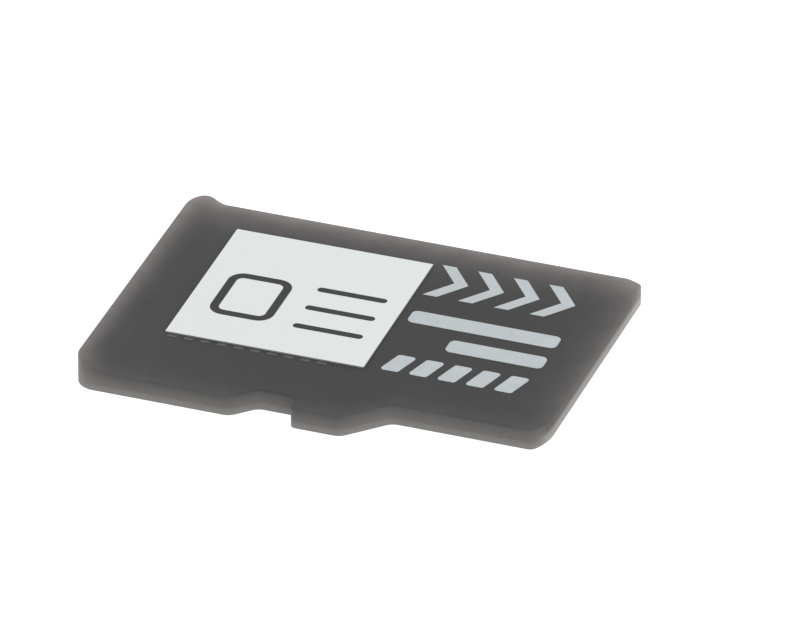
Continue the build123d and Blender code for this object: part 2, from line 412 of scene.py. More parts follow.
# %% [markdown]
# ### Sliding scratches
# Whenever a card goes into a socket, springs and rails draw fine scratches along it. They could be cut
# into the mesh too, but the same stretched noise gives them, this time drawn out along X, the way that
# the card slides. Each material decides for itself how high the noise must be to count as a scratch.

# %% Build the sliding scratches
slide_scratches, sockets, results = shader_group(
    "slide scratches", {"Position": None, "Length": 1.25 * MM, "Width": 0.025 * MM}, ["Scratch"]
)
scratch_sizes = (sockets["Length"], sockets["Width"], sockets["Length"])
scratch = stretched_noise(slide_scratches, sockets["Position"], scratch_sizes, detail=4.0, roughness=0.7)
slide_scratches.links.new(scratch, results["Scratch"])
print("group", slide_scratches.name)

# %% [markdown]
# ### Dust
# A few pale specks keep a dark surface from looking like a drawing. They could be tiny meshes, but then
# every speck would be a piece. Voronoi cells give one possible speck each, a random number per cell
# decides which cells have one, and the distance to the cell's centre gives its round shape.

# %% Build the dust
dust, sockets, results = shader_group(
    "dust", {"Position": None, "Cell size": 0.5 * MM, "Share": 0.03, "Speck size": 0.08}, ["Speck"]
)
cells = add_node(
    dust, "ShaderNodeTexVoronoi",
    {"Vector": sockets["Position"], "Scale": calculate(dust, "DIVIDE", 1.0, sockets["Cell size"])},
)
chance = add_node(dust, "ShaderNodeSeparateColor", {0: cells.outputs["Color"]}).outputs[0]
chosen = calculate(dust, "LESS_THAN", chance, sockets["Share"])
near_centre = calculate(dust, "LESS_THAN", cells.outputs["Distance"], sockets["Speck size"])
dust.links.new(calculate(dust, "MULTIPLY", chosen, near_centre), results["Speck"])
print("group", dust.name)

# %% [markdown]
# ## Finishes
# Each finish is one material with a Principled shader, and begins with the object's own coordinates. Some
# also read the surface's direction, which tells flat faces from walls. Separate materials for top and
# walls would need a line between them, but the direction turns smoothly over the rounded rim, and so does
# the colour.


# %% Write the start of a finish
def start_finish(name, **sockets_set):
    """Makes a material. Gives back it, its tree, its shader and the position on the object."""
    material = bpy.data.materials.new(name)
    material.use_nodes = True
    tree = material.node_tree
    shader = tree.nodes["Principled BSDF"]
    for socket_name, value in sockets_set.items():
        shader.inputs[socket_name.replace("_", " ")].default_value = value
    return material, tree, shader, tree.nodes.new("ShaderNodeTexCoord").outputs["Object"]


def lies_flat(tree):
    """1 on faces that look up or down, 0 on walls, and between them on a rim."""
    direction = tree.nodes.new("ShaderNodeTexCoord").outputs["Normal"]
    levelness = calculate(tree, "ABSOLUTE", split_axes(tree, direction)["Z"])
    return rise(tree, levelness, 0.25, 0.75)


def paint(tree, shader, colour, roughness):
    """Gives the shader a colour and a roughness."""
    tree.links.new(colour, shader.inputs["Base Color"])
    tree.links.new(roughness, shader.inputs["Roughness"])


def add_bump(tree, shader, height, depth):
    """Lets a height move the shader's normal. Depth is in metres."""
    bump = add_node(tree, "ShaderNodeBump", {"Height": height, "Strength": 1.0, "Distance": depth})
    tree.links.new(bump.outputs[0], shader.inputs["Normal"])


print("finish helpers ready")

# %% [markdown]
# ### Where the card is pale
# Resin and board are pale in the same places, because they share the card's outline: along an edge, all
# round a corner, and most of all on the wall of the contact end. Some of it is wear, and some is painted
# light: glare at the far corner of the contact end, and floor light on the contact end's wall. Each
# material could work out these places for itself, but then resin and board might part, so both call the
# same functions.


# %% Write the helpers for wear and painted light
def add_edge_fades(tree, *rubs):
    """Adds up the paleness of several edges, from wear and from painted light, each given by the inputs of
    one edge group.
    """
    total = 0.0
    for inputs in rubs:
        rub_and_sheen = use_group(tree, edge_fade, **inputs)["Rub"]
        total = calculate(tree, "ADD", total, rub_and_sheen, clamp=True)
    return total


def corner_spot(tree, axes, corner, reach, amount):
    """Inputs for a round pale spot about a corner of the card: wear, and painted glare at the far contact
    corner.
    """
    squares = [
        calculate(tree, "POWER", calculate(tree, "SUBTRACT", axes[axis], place), 2.0)
        for axis, place in zip("XY", corner)
    ]
    distance = calculate(tree, "SQRT", calculate(tree, "ADD", *squares))
    return dict(Place=distance, Reach=reach, Power=2.0, Amount=amount)


def near_edge_line(tree, axes):
    """Where the near edge lies along Y. It steps inwards at the shoulder."""
    return rescale(tree, axes["X"], shoulder_start, shoulder_end, wide_edge, narrow_edge)


def on_contact_end(tree, axes):
    """1 on the wall of the contact end, where the painted floor light is strongest, and less towards its
    corners.
    """
    return add_edge_fades(tree, dict(Place=axes["X"], Edge=contact_end, Reach=0.14 * MM, Power=2.0))


print("wear helpers ready")

# %% [markdown]
# ### Black resin
# The body is epoxy filled with fine silica. It looks dark grey rather than black, because a matt surface
# in a white tent always reflects some white. Its label face is pale along the rim: most along the far
# edge, in a band on the lip, and a little along the other sides. That paleness is partly wear and partly
# painted sheen, the tent's light caught on the rim. It isn't even, so a cloud of noise thins it here and
# there.

# %% Start the black resin and paint wear and sheen on its label face
resin_black = grey(0.042)
rub_and_sheen_resin = (0.26, 0.24, 0.232, 1)

resin, tree, shader, position = start_finish("black resin", Specular_IOR_Level=0.3)
axes = split_axes(tree, position)
grain = use_group(
    tree, moulded_grain, Position=position, Grain_size=0.045 * MM, Cloud_size=0.9 * MM, Contrast=0.2
)
grip_amount = rescale(tree, axes["Y"], wide_edge, far_edge, 0.5, 0.64)
contact_amount = rescale(tree, axes["Y"], narrow_edge, narrow_edge + 2 * MM, 0.18, 0.3)
near_amount = rescale(tree, axes["X"], shoulder_start, shoulder_end, 0.15, 0.13)
# Painted sheen and wear: the label face is paler along its rims, most along the far edge and the lip.
rub_and_sheen = add_edge_fades(
    tree,
    dict(Place=axes["Y"], Edge=far_edge, Reach=0.62 * MM),
    dict(Place=axes["X"], Edge=grip_end, Reach=0.4 * MM, Power=2.0, Amount=grip_amount),
    dict(Place=axes["X"], Edge=grip_end, Reach=2.0 * MM, Amount=0.1),
    dict(Place=axes["X"], Edge=contact_end, Reach=0.52 * MM, Amount=contact_amount),
    dict(Place=axes["Y"], Edge=near_edge_line(tree, axes), Reach=0.45 * MM, Amount=near_amount),
)
rub_and_sheen = calculate(tree, "MULTIPLY", rub_and_sheen, from_noise(tree, grain["Cloud"], 0.86, 1.14))
flat_colour = toned(tree, mix_colours(tree, rub_and_sheen, resin_black, rub_and_sheen_resin), grain["Tone"])
print("label face of", resin.name)

# %% [markdown]
# The walls are paler than the label face and lighten downwards: that is painted light from the white
# floor, which falls most on their foot. The contact end's wall is palest at its foot, a painted reflection
# of the floor, and the grip end is rubbed by fingers. Bands of colour could be painted on the walls, but
# mixing by height and by distance leaves no borders.

# %% Colour the resin's walls, with painted floor light
wall_top_at_grip = grey(0.059, 0.02)
wall_top_at_contacts = grey(0.068, 0.01)
floor_lit_wall_foot = (0.125, 0.12, 0.116, 1)
end_wall_top = (0.062, 0.058, 0.053, 1)
floor_lit_end_wall_foot = (0.24, 0.227, 0.218, 1)
end_foot_height = 0.18 * MM

towards_contacts = rise(tree, axes["X"], 0.0, shoulder_end)
wall_top = mix_colours(tree, towards_contacts, wall_top_at_grip, wall_top_at_contacts)
# Painted floor light: paler towards the wall's foot, and palest of all at the foot of the contact end.
wall_height = rise(tree, axes["Z"], board_top, label_face)
wall_colour = mix_colours(tree, wall_height, floor_lit_wall_foot, wall_top)
end_height = rise(tree, axes["Z"], board_top, board_top + end_foot_height)
end_colour = mix_colours(tree, end_height, floor_lit_end_wall_foot, end_wall_top)
wall_colour = mix_colours(tree, on_contact_end(tree, axes), wall_colour, end_colour)
# Finger wear at the grip end and the near contact corner, and painted glare at the far contact corner.
wall_wear_and_glare = add_edge_fades(
    tree,
    dict(Place=axes["X"], Edge=grip_end, Reach=0.35 * MM, Power=1.2, Amount=0.5),
    corner_spot(tree, axes, far_contact_corner, reach=1.1 * MM, amount=0.3),
    corner_spot(tree, axes, near_contact_corner, reach=0.8 * MM, amount=0.1),
)
wall_colour = mix_colours(tree, wall_wear_and_glare, wall_colour, rub_and_sheen_resin)
streak = use_group(
    tree, cut_wall, Position=position, Streak_width=0.16 * MM, Streak_height=0.7 * MM, Contrast=0.25
)
wall_colour = toned(tree, wall_colour, streak["Tone"])
print("walls of", resin.name)

# %% [markdown]
# Three corners take the knocks when a card is dropped or carried loose, so they have a pale spot each, on
# the label face and the walls alike. The largest, at the far corner of the contact end, is partly painted
# glare, the tent's light caught on that rounded corner. A second material for the walls would leave a
# seam on the rim and through these spots, so one shader holds all of it.

# %% Wear the resin's corners, paint glare on one, and finish it
knock_and_glare_resin = (0.27, 0.238, 0.226, 1)
speck_on_resin = grey(0.3)

flat = lies_flat(tree)
colour = mix_colours(tree, flat, wall_colour, flat_colour)
# Painted glare with wear at the far contact corner, and knocks at the two grip corners.
knock_and_glare = add_edge_fades(
    tree,
    corner_spot(tree, axes, far_contact_corner, reach=0.68 * MM, amount=0.85),
    corner_spot(tree, axes, far_grip_corner, reach=0.8 * MM, amount=0.3),
    corner_spot(tree, axes, near_grip_corner, reach=0.8 * MM, amount=0.2),
)
colour = mix_colours(tree, knock_and_glare, colour, knock_and_glare_resin)
speck = use_group(tree, dust, Position=position, Cell_size=0.6 * MM, Share=0.02, Speck_size=0.06)
colour = mix_colours(tree, speck["Speck"], colour, speck_on_resin)
paint(tree, shader, colour, from_noise(tree, grain["Height"], 0.5, 0.68))
add_bump(tree, shader, mix_values(tree, flat, streak["Height"], grain["Height"]), depth=0.006 * MM)
print("finish", resin.name)

# %% [markdown]
# ### Board laminate
# The board is woven glass in resin. Its cut edge shows as the paler, warmer layer under the moulded
# resin, in thin layers. It is painted paler towards its foot with light from the white floor, and palest on
# the contact end's wall, a painted reflection of the floor. The far contact corner has painted glare, and
# the grip end is rubbed by fingers. The layers could be modelled as sheets, but they are a few hundredths
# of a millimetre thick, so a sine wave along Z draws them.

# %% Start the board laminate with its cut edge
floor_lit_edge_foot = (0.202, 0.195, 0.186, 1)
edge_top = (0.145, 0.14, 0.134, 1)
floor_lit_end_edge_foot = (0.284, 0.274, 0.262, 1)
end_edge_top = (0.242, 0.228, 0.221, 1)
worn_and_glare_laminate = (0.38, 0.36, 0.35, 1)
layer_thickness = 0.06 * MM

laminate, tree, shader, position = start_finish("board laminate", Specular_IOR_Level=0.35)
axes = split_axes(tree, position)
# Painted floor light: paler towards the foot, and palest on the contact end's wall.
edge_height = rise(tree, axes["Z"], 0.0, board_top)
edge_colour = mix_colours(tree, edge_height, floor_lit_edge_foot, edge_top)
end_colour = mix_colours(tree, edge_height, floor_lit_end_edge_foot, end_edge_top)
edge_colour = mix_colours(tree, on_contact_end(tree, axes), edge_colour, end_colour)
# Finger wear at the grip end, and painted glare at the far contact corner.
edge_wear_and_glare = add_edge_fades(
    tree,
    dict(Place=axes["X"], Edge=grip_end, Reach=0.35 * MM, Power=1.2, Amount=0.34),
    corner_spot(tree, axes, far_contact_corner, reach=1.3 * MM, amount=0.85),
)
edge_colour = mix_colours(tree, edge_wear_and_glare, edge_colour, worn_and_glare_laminate)
layer_wave = calculate(tree, "SINE", calculate(tree, "MULTIPLY", axes["Z"], 2 * math.pi / layer_thickness))
edge_colour = toned(tree, edge_colour, rescale(tree, layer_wave, -1.0, 1.0, 0.97, 1.03))
streak = use_group(
    tree, cut_wall, Position=position, Streak_width=0.12 * MM, Streak_height=0.3 * MM, Contrast=0.25
)
edge_colour = toned(tree, edge_colour, streak["Tone"])
print("edge of", laminate.name)

# %% [markdown]
# The board's back is under a thin black mask. A copper track leads away from every contact and shows
# through the mask as a faint relief. The tracks repeat with the contacts, so the pattern is measured from
# two of them: dividing the place by their pitch and taking the rounded part away leaves the distance to
# the nearest track's middle line.

# %% Mask the board's back
mask_black = grey(0.03)
mask_over_track = grey(0.042, 0.05)
contact_low, contact_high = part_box("contact_data_2")
last_contact_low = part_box("contact_data_1")[0]
contact_count = len([name for name in nodes if name.startswith("contact_") and name != "contact_vias"])
contact_pitch = (last_contact_low.y - contact_low.y) / (contact_count - 1)
first_contact_y = (contact_low.y + contact_high.y) / 2
track_end = -1.0 * MM
track_fade_in = 0.2 * MM
track_fade_out = 0.4 * MM
# Half a track's width at its top and at its foot, in pitches
track_half_top = 0.1
track_half_foot = 0.14


def from_nearest(tree, place, first, spacing):
    """How far a place is from the nearest member of an even row, in spacings."""
    row = calculate(tree, "DIVIDE", calculate(tree, "SUBTRACT", place, first), spacing)
    return calculate(tree, "ABSOLUTE", calculate(tree, "SUBTRACT", row, calculate(tree, "ROUND", row)))


grain = use_group(
    tree, moulded_grain, Position=position, Grain_size=0.03 * MM, Cloud_size=1.2 * MM, Contrast=0.2
)
from_track = from_nearest(tree, axes["Y"], first_contact_y, contact_pitch)
track = rise(tree, from_track, track_half_foot, track_half_top)
behind_contacts = rise(tree, axes["X"], contact_low.x, contact_low.x - track_fade_in)
before_chips = rise(tree, axes["X"], track_end, track_end + track_fade_out)
track = calculate(tree, "MULTIPLY", track, calculate(tree, "MULTIPLY", behind_contacts, before_chips))
mask_colour = toned(tree, mix_colours(tree, track, mask_black, mask_over_track), grain["Tone"])
print("mask with", contact_count, "tracks at a pitch of", round(contact_pitch / MM, 3), "mm")

# %% [markdown]
# A socket's rails carry the card by its two long edges, so the mask is scratched most there, and only
# here and there in the middle. The scratches could be a picture laid over the back, but then they would
# be as coarse as its pixels. The rubbed edge serves once more, to say where they are.

# %% Scratch the board's back
scratch_grey = grey(0.1)
scratch_roughness = 0.6
edge_roughness = 0.7
stray_share = 0.2
# How deep grain and scratches are, against the height of a track
fine_relief = 0.3

scratch = use_group(tree, slide_scratches, Position=position, Length=5 * MM, Width=0.05 * MM)["Scratch"]
rails = [
    dict(Place=axes["Y"], Edge=edge, Reach=0.9 * MM, Power=2.0, Amount=0.8)
    for edge in (far_edge, near_edge_line(tree, axes))
]
scratch_share = calculate(tree, "ADD", add_edge_fades(tree, *rails), stray_share, clamp=True)
scratched = calculate(tree, "MULTIPLY", rise(tree, scratch, 0.5, 0.68), scratch_share)
mask_colour = mix_colours(tree, scratched, mask_colour, scratch_grey)
mask_roughness = from_noise(tree, grain["Height"], 0.32, 0.45)
mask_roughness = mix_values(tree, scratched, mask_roughness, scratch_roughness)
flat = lies_flat(tree)
colour = mix_colours(tree, flat, edge_colour, mask_colour)
paint(tree, shader, colour, mix_values(tree, flat, edge_roughness, mask_roughness))
mask_relief = calculate(tree, "ADD", track, calculate(tree, "MULTIPLY", grain["Height"], fine_relief))
mask_relief = calculate(tree, "SUBTRACT", mask_relief, calculate(tree, "MULTIPLY", scratched, fine_relief))
add_bump(tree, shader, mix_values(tree, flat, streak["Height"], mask_relief), depth=0.008 * MM)
print("finish", laminate.name)

# %% [markdown]
# ### Contact gold
# The contacts are copper, plated with nickel and hard gold. Every insertion draws a spring along each of
# them, so fine scratches run lengthwise and a lane down the middle is polished. An anisotropic shader
# could blur the reflections the same way, but noise stretched along X shows the single scratches too.

# %% Make the contact gold
plain_gold = (0.83, 0.57, 0.22, 1)
polished_gold = (0.9, 0.68, 0.33, 1)
polish = 0.07
# How deep scratches are beside the polished lane, against those that the lane adds
plain_scratches = 0.4
# Half the polished lane's width where it is full and where it ends, in pitches
lane_half_full = 0.08
lane_half_end = 0.16

gold, tree, shader, position = start_finish("contact gold", Metallic=1.0)
scratches = use_group(tree, slide_scratches, Position=position, Length=1.25 * MM, Width=0.025 * MM)["Scratch"]
grain = use_group(
    tree, moulded_grain, Position=position, Grain_size=0.02 * MM, Cloud_size=0.7 * MM, Contrast=0.25
)
from_lane = from_nearest(tree, split_axes(tree, position)["Y"], first_contact_y, contact_pitch)
wiped = rise(tree, from_lane, lane_half_end, lane_half_full)
colour = toned(tree, mix_colours(tree, wiped, plain_gold, polished_gold), grain["Tone"])
roughness = rescale(tree, scratches, 0.35, 0.65, 0.2, 0.42)
roughness = calculate(tree, "SUBTRACT", roughness, calculate(tree, "MULTIPLY", wiped, polish))
paint(tree, shader, colour, roughness)
scratch_relief = calculate(tree, "MULTIPLY", scratches, calculate(tree, "ADD", wiped, plain_scratches))
add_bump(tree, shader, scratch_relief, depth=0.003 * MM)
print("finish", gold.name)

# %% [markdown]
# ### Sticker paper
# The sticker is thin white paper. Close up it is a felt of fibres, so its tone wavers very slightly and
# its surface has a soft tooth. Fibres could be curves, but at this size distorted noise tells the same
# story. The cut edges are a little greyer than its face.

# %% Make the sticker paper
paper_white = (0.79, 0.83, 0.822, 1)
grey_paper_edge = grey(0.32, 0.02)
speck_on_paper = grey(0.5, 0.05)
fibre_size = 0.06 * MM

paper, tree, shader, position = start_finish("sticker paper", Specular_IOR_Level=0.2)
fibres = add_node(
    tree, "ShaderNodeTexNoise",
    {"Vector": position, "Scale": 1 / fibre_size, "Detail": 5.0, "Roughness": 0.7, "Distortion": 1.5},
).outputs[0]
grain = use_group(
    tree, moulded_grain, Position=position, Grain_size=0.1 * MM, Cloud_size=3 * MM, Contrast=0.05
)
speck = use_group(tree, dust, Position=position, Cell_size=0.8 * MM, Share=0.03, Speck_size=0.03)
# The sticker's walls are greyer than its face.
colour = toned(tree, mix_colours(tree, lies_flat(tree), grey_paper_edge, paper_white), grain["Tone"])
colour = mix_colours(tree, speck["Speck"], colour, speck_on_paper)
paint(tree, shader, colour, from_noise(tree, fibres, 0.75, 0.95))
add_bump(tree, shader, fibres, depth=0.004 * MM)
print("finish", paper.name)

# %% [markdown]
# ### Ink
# The label is screen printed in pale grey, which is worn to a faint grey beside the sticker, and the
# sticker is marked in black. Ink takes on the roughness of what is under it, so the inks differ only in
# colour, in cover and in gloss. Three materials could be written out, but one function makes them all. Its
# first half, a colour that the grain clouds, is a function too, because the inner pieces need it next.


# %% Make the inks
def clouded_finish(name, base, contrast, roughness, grain_size, cloud_size, **sockets_set):
    """A finish of one clouded colour. Gives back it, its tree, its shader and the grain's height."""
    material, tree, shader, position = start_finish(name, **sockets_set)
    grain = use_group(
        tree, moulded_grain, Position=position,
        Grain_size=grain_size, Cloud_size=cloud_size, Contrast=contrast,
    )
    paint(tree, shader, toned(tree, base, grain["Tone"]), from_noise(tree, grain["Height"], *roughness))
    return material, tree, shader, grain["Height"]


def make_ink(name, base, cover, roughness):
    """Ink whose tone wavers by cover, as a screen or a stamp leaves it. Roughness is a range."""
    material, tree, shader, height = clouded_finish(
        name, base, cover, roughness, grain_size=0.05 * MM, cloud_size=0.5 * MM, Specular_IOR_Level=0.3
    )
    add_bump(tree, shader, height, depth=0.003 * MM)
    return material


label_ink = make_ink("label ink", (0.53, 0.57, 0.59, 1), cover=0.45, roughness=(0.5, 0.65))
worn_ink = make_ink("worn ink", grey(0.095, 0.02), cover=0.9, roughness=(0.5, 0.65))
marking_ink = make_ink("marking ink", grey(0.045), cover=0.4, roughness=(0.6, 0.8))
print("finishes", label_ink.name, worn_ink.name, marking_ink.name)

# %% [markdown]
# ### Pieces inside the resin
# Nobody sees the chips once the resin is on, but the pieces are there, and someone may cut the card open.
# Their finishes could be as rich as the outer ones, but simple ones do: a base colour that the grain
# clouds, and a roughness that follows it.


# %% Make the inner finishes
def make_inner(name, base, metallic, contrast, roughness, cloud_size=0.6 * MM):
    """A plain finish for a piece inside the resin. Roughness is a range."""
    inner = clouded_finish(
        name, base, contrast, roughness, grain_size=0.03 * MM, cloud_size=cloud_size, Metallic=metallic
    )
    return inner[0]


copper = make_inner("via copper", (0.72, 0.36, 0.2, 1), metallic=1.0, contrast=0.2, roughness=(0.3, 0.45))
silicon = make_inner(
    "silicon", (0.13, 0.14, 0.17, 1), metallic=0.4, contrast=0.15, roughness=(0.12, 0.2), cloud_size=1.5 * MM
)
film = make_inner("die film", (0.25, 0.18, 0.09, 1), metallic=0.0, contrast=0.2, roughness=(0.5, 0.7))
bond_gold = make_inner("bond gold", (0.92, 0.7, 0.3, 1), metallic=1.0, contrast=0.1, roughness=(0.2, 0.3))
tin = make_inner("solder", (0.62, 0.62, 0.63, 1), metallic=1.0, contrast=0.2, roughness=(0.3, 0.5))
print("inner finishes ready")

# %% [markdown]
# ### Capacitor ceramic
# A chip capacitor is a block of brown ceramic with tinned ends. The ends could be solids of their own,
# but on the real one they are a plating too thin to measure, so they belong to the finish. All three
# capacitors stand in one row, and the same rounding trick as for the tracks finds the nearest one's
# middle.

# %% Make the capacitor ceramic
brown_ceramic = (0.42, 0.3, 0.17, 1)
tin_plating = grey(0.7)
tinned_length = 0.18 * MM
capacitor_low, capacitor_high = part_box("capacitor_supply")
capacitor_middle = (capacitor_low.x + capacitor_high.x) / 2
capacitor_spacing = capacitor_low.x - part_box("capacitor_core")[0].x
bare_half = (capacitor_high.x - capacitor_low.x) / 2 - tinned_length

ceramic, tree, shader, position = start_finish("capacitor ceramic")
grain = use_group(
    tree, moulded_grain, Position=position, Grain_size=0.03 * MM, Cloud_size=0.3 * MM, Contrast=0.25
)
from_middle = from_nearest(tree, split_axes(tree, position)["X"], capacitor_middle, capacitor_spacing)
tinned = calculate(tree, "GREATER_THAN", from_middle, bare_half / capacitor_spacing)
colour = toned(tree, mix_colours(tree, tinned, brown_ceramic, tin_plating), grain["Tone"])
paint(tree, shader, colour, from_noise(tree, grain["Height"], 0.4, 0.55))
tree.links.new(tinned, shader.inputs["Metallic"])
print("finish", ceramic.name)

# %% [markdown]
# ### Dress the CAD nodes
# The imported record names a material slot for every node. The nodes could be dressed one by one, but a
# table that turns slots into finishes is shorter, and no node is forgotten.

# %% Give every node its finish
finish_of_slot = {
    "black_resin": resin,
    "board_laminate": laminate,
    "contact_gold": gold,
    "via_copper": copper,
    "silicon": silicon,
    "die_film": film,
    "bond_gold": bond_gold,
    "solder": tin,
    "capacitor_ceramic": ceramic,
    "sticker_paper": paper,
}
for subpart in frame["record"]["subparts"]:
    node = nodes[subpart["node"]]
    for material_slot in node.material_slots:
        material_slot.link = "OBJECT"
        material_slot.material = finish_of_slot[subpart["material_slot"]]

# %% [markdown]
# ## Printed marks
# Print is a thin film of ink with crisp edges. It could be a pattern in the resin's material, but then
# its edges would be as coarse as the texture that it is baked to, so it is geometry. Marks repeat, and
# Geometry Nodes are made for that: a tree draws a mark, raises the flat shape to a closed film, and
# copies it along a row. Named inputs set every size.


# %% Write the tree helpers
def geometry_tree(name, inputs):
    """Makes a Geometry Nodes tree with named inputs. Gives back it and the sockets of its ends."""
    tree = bpy.data.node_groups.new(name, "GeometryNodeTree")
    for socket_name, kind in inputs.items():
        tree.interface.new_socket(socket_name, in_out="INPUT", socket_type="NodeSocket" + kind)
    tree.interface.new_socket("Geometry", in_out="OUTPUT", socket_type="NodeSocketGeometry")
    return tree, tree.nodes.new("NodeGroupInput").outputs, tree.nodes.new("NodeGroupOutput").inputs


def join(tree, *geometries):
    """Joins geometries and gives back the result."""
    node = tree.nodes.new("GeometryNodeJoinGeometry")
    for geometry in reversed(geometries):
        tree.links.new(geometry, node.inputs[0])
    return node.outputs[0]


row_inputs = {
    "Count": "Int", "Start": "Vector", "Step": "Vector", "Length": "Float", "Width": "Float",
    "Thickness": "Float", "Ink": "Material",
}
print("a row has", len(row_inputs), "inputs")

# %% [markdown]
# ### Raising the ink
# A Solidify modifier could thicken a flat shape, but inside a tree the same is done with three nodes.
# Extruding lifts the faces and leaves the underside open, a flipped copy of the flat shape closes it, and
# merging the doubled points seals the seam.

# %% Build the ink raiser
seam_reach = 0.0005 * MM
raise_ink, sockets, results = geometry_tree("raise ink", {"Flat": "Geometry", "Thickness": "Float"})
lifted = add_node(
    raise_ink, "GeometryNodeExtrudeMesh",
    {"Mesh": sockets["Flat"], "Offset Scale": sockets["Thickness"], "Individual": False},
).outputs[0]
underside = add_node(raise_ink, "GeometryNodeFlipFaces", {"Mesh": sockets["Flat"]}).outputs[0]
sealed = add_node(
    raise_ink, "GeometryNodeMergeByDistance",
    {"Geometry": join(raise_ink, lifted, underside), "Distance": seam_reach},
).outputs[0]
raise_ink.links.new(sealed, results["Geometry"])
print("tree", raise_ink.name)

# %% [markdown]
# ### Rows and pieces
# Every tree ends in the same way: the film is copied along a row of points, the copies are made real and
# they get their ink. An Array modifier could copy too, but it can't share one tree with the drawing of
# the mark. The result is then kept as a plain mesh, because an export drops instances and modifiers.


# %% Write the row and the piece helpers
def finish_row(tree, sockets, results, mark):
    """Raises a flat mark, copies it along a row, makes the copies real and inks them."""
    film = add_node(
        tree, "GeometryNodeGroup", {"Flat": mark, "Thickness": sockets["Thickness"]}, node_tree=raise_ink
    ).outputs[0]
    row = add_node(
        tree, "GeometryNodeMeshLine",
        {"Count": sockets["Count"], "Start Location": sockets["Start"], "Offset": sockets["Step"]},
    ).outputs[0]
    copies = add_node(tree, "GeometryNodeInstanceOnPoints", {"Points": row, "Instance": film}).outputs[0]
    real = add_node(tree, "GeometryNodeRealizeInstances", {"Geometry": copies}).outputs[0]
    inked = add_node(tree, "GeometryNodeSetMaterial", {"Geometry": real, "Material": sockets["Ink"]})
    tree.links.new(inked.outputs[0], results["Geometry"])


def print_piece(name, tree, ink, slot, turn=0.0, about=(0, 0, 0), **sizes):
    """Runs a tree, keeps its result as a plain mesh, turns it about a point and lets it ride on the card."""
    piece = bpy.data.objects.new(name, bpy.data.meshes.new(name))
    bpy.context.scene.collection.objects.link(piece)
    modifier = piece.modifiers.new("print", "NODES")
    modifier.node_group = tree
    sizes["Ink"] = ink
    for item in tree.interface.items_tree:
        if item.in_out == "INPUT":
            modifier[item.identifier] = sizes[item.name]
    evaluated = piece.evaluated_get(bpy.context.evaluated_depsgraph_get())
    mesh = bpy.data.meshes.new_from_object(evaluated)
    piece.modifiers.clear()
    piece.data = mesh
    pivot = Matrix.Translation(about)
    mesh.transform(pivot @ Matrix.Rotation(turn, 4, "Z") @ pivot.inverted())
    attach(piece, "root")
    print("printed", name, len(mesh.polygons), "faces")


print("row and piece helpers ready")

# %% [markdown]
# ### Chevrons
# A row of chevrons points to the end that goes into the socket. A chevron could be an outline with six
# corners, but it is easier to size as two slanted bars that meet at its tip, and a slanted bar is a
# parallelogram, which Geometry Nodes have as a curve.

# %% Build the chevron row
chevron_row, sockets, results = geometry_tree("chevron row", {**row_inputs, "Lean": "Float"})


def chevron_arm(lean, raised_by):
    """One slanted bar, filled, with its middle raised by a length along Y."""
    bar = add_node(
        chevron_row, "GeometryNodeCurvePrimitiveQuadrilateral",
        {"Width": sockets["Width"], "Height": sockets["Length"], "Offset": lean}, mode="PARALLELOGRAM",
    ).outputs[0]
    filled = add_node(chevron_row, "GeometryNodeFillCurve", {"Curve": bar}, mode="NGONS").outputs[0]
    shift = add_node(chevron_row, "ShaderNodeCombineXYZ", {"Y": raised_by}).outputs[0]
    moved = add_node(chevron_row, "GeometryNodeTransform", {"Geometry": filled, "Translation": shift})
    return moved.outputs[0]


half_length = calculate(chevron_row, "MULTIPLY", sockets["Length"], 0.5)
backward = calculate(chevron_row, "MULTIPLY", sockets["Lean"], -1.0)
upper_arm = chevron_arm(backward, half_length)
lower_arm = chevron_arm(sockets["Lean"], calculate(chevron_row, "MULTIPLY", half_length, -1.0))
chevron = add_node(
    chevron_row, "GeometryNodeMergeByDistance",
    {"Geometry": join(chevron_row, upper_arm, lower_arm), "Distance": seam_reach},
).outputs[0]
finish_row(chevron_row, sockets, results, chevron)

ink_thickness = 0.012 * MM
print_piece(
    "label_chevrons", chevron_row, label_ink, "label_ink",
    Count=4, Start=(1.85 * MM, 3.3 * MM, label_face), Step=(1.18 * MM, 0, 0),
    Length=0.95 * MM, Width=0.46 * MM, Lean=0.72 * MM, Thickness=ink_thickness,
)

# %% [markdown]
# ### Bars and blocks
# Two rounded bars stand in the middle of the label, and a row of leaning blocks below them. Each could
# have a tree of its own, but a bar is a block that doesn't lean. The same tree rules the lines on the
# sticker, as bars whose corners are fully round.

# %% Build the block row
block_row, sockets, results = geometry_tree("block row", {**row_inputs, "Corner": "Float", "Lean": "Float"})


def rounded_block(tree, length, width, corner, lean=0.0):
    """A block with round corners, as a curve. Its far side leans along X."""
    block = add_node(
        tree, "GeometryNodeCurvePrimitiveQuadrilateral", {"Width": length, "Height": width, "Offset": lean},
        mode="PARALLELOGRAM",
    ).outputs[0]
    rounded = add_node(
        tree, "GeometryNodeFilletCurve", {"Curve": block, "Radius": corner, "Count": 6, "Limit Radius": True},
        mode="POLY",
    )
    return rounded.outputs[0]


block = rounded_block(block_row, sockets["Length"], sockets["Width"], sockets["Corner"], sockets["Lean"])
filled_block = add_node(block_row, "GeometryNodeFillCurve", {"Curve": block}, mode="NGONS").outputs[0]
finish_row(block_row, sockets, results, filled_block)

